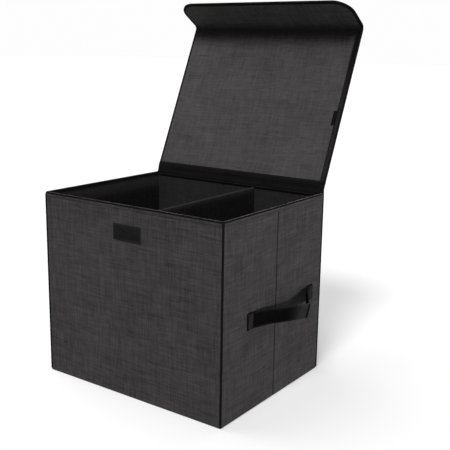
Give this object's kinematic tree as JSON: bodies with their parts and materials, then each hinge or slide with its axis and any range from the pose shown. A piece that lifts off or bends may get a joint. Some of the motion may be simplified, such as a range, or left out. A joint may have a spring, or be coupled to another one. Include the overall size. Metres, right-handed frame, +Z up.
{
  "type": "record carrying case",
  "caption": "Foldable cloth-covered box for twelve-inch record sleeves, with a hinged lid, a closing flap, side carrying straps, a lift-out base board and a lift-out divider.",
  "frame": {"origin": "centre of the underside of the case, on the surface it stands on", "axes": "+X to the right seen from the front, +Y to the hinge side at the back, +Z up"},
  "size_m": [0.4908, 0.4647, 0.7135],
  "materials": {
    "case_board": "raw pressed board",
    "outer_cloth": "coarse linen-look weave",
    "inner_cloth": "plain weave",
    "binding": "ribbed binding tape",
    "closure": "hook and loop pile",
    "strap": "folded and stitched cloth strap"
  },
  "bodies": {
    "case": {"front_board": "case_board", "back_board": "case_board", "left_front_board": "case_board", "left_rear_board": "case_board", "right_front_board": "case_board", "right_rear_board": "case_board", "front_cover": "outer_cloth", "back_cover": "outer_cloth", "left_cover": "outer_cloth", "right_cover": "outer_cloth", "base_cover": "outer_cloth", "lining": "inner_cloth", "rim_binding": "binding", "front_left_piping": "binding", "front_right_piping": "binding", "rear_left_piping": "binding", "rear_right_piping": "binding", "front_closure_patch": "closure", "left_front_tab": "strap", "left_rear_tab": "strap", "left_strap_ends": "strap", "right_front_tab": "strap", "right_rear_tab": "strap", "right_strap_ends": "strap", "lid_hinge_cloth": "outer_cloth"},
    "left_handle": {"left_strap": "strap"},
    "right_handle": {"right_strap": "strap"},
    "base_panel": {"base_board": "case_board", "base_board_cover": "inner_cloth"},
    "divider": {"divider_board": "case_board", "divider_cover": "inner_cloth"},
    "lid": {"lid_board": "case_board", "lid_cover": "outer_cloth", "lid_lining": "outer_cloth", "lid_binding": "binding", "lid_tag": "binding", "flap_crease_cloth": "outer_cloth"},
    "flap": {"flap_board": "case_board", "flap_cover": "outer_cloth", "flap_lining": "outer_cloth", "flap_binding": "binding", "flap_closure_patch": "closure"}
  },
  "joints": [
    {"name": "lid_hinge", "type": "hinge", "parent": "case", "child": "lid", "pos_m": [0, 0.164, 0.3612], "axis": [-1, 0, 0], "range_deg": [-114, 122], "deforming": ["lid_hinge_cloth"]},
    {"name": "flap_fold", "type": "hinge", "parent": "lid", "child": "flap", "pos_m": [0, 0.29473, 0.66565], "axis": [-1, 0, 0], "range_deg": [-8, 82], "deforming": ["flap_crease_cloth"]},
    {"name": "left_handle_swing", "type": "hinge", "parent": "case", "child": "left_handle", "pos_m": [-0.213, 0.019, 0.168], "axis": [0, 1, 0], "range_deg": [-50, 50]},
    {"name": "right_handle_swing", "type": "hinge", "parent": "case", "child": "right_handle", "pos_m": [0.213, 0.019, 0.168], "axis": [0, -1, 0], "range_deg": [-50, 50]},
    {"name": "base_board_lift", "type": "slide", "parent": "case", "child": "base_panel", "axis": [0, 0, 1], "range_m": [0, 0.36]},
    {"name": "divider_lift", "type": "slide", "parent": "base_panel", "child": "divider", "axis": [0, 0, 1], "range_m": [0, 0.36]}
  ]
}
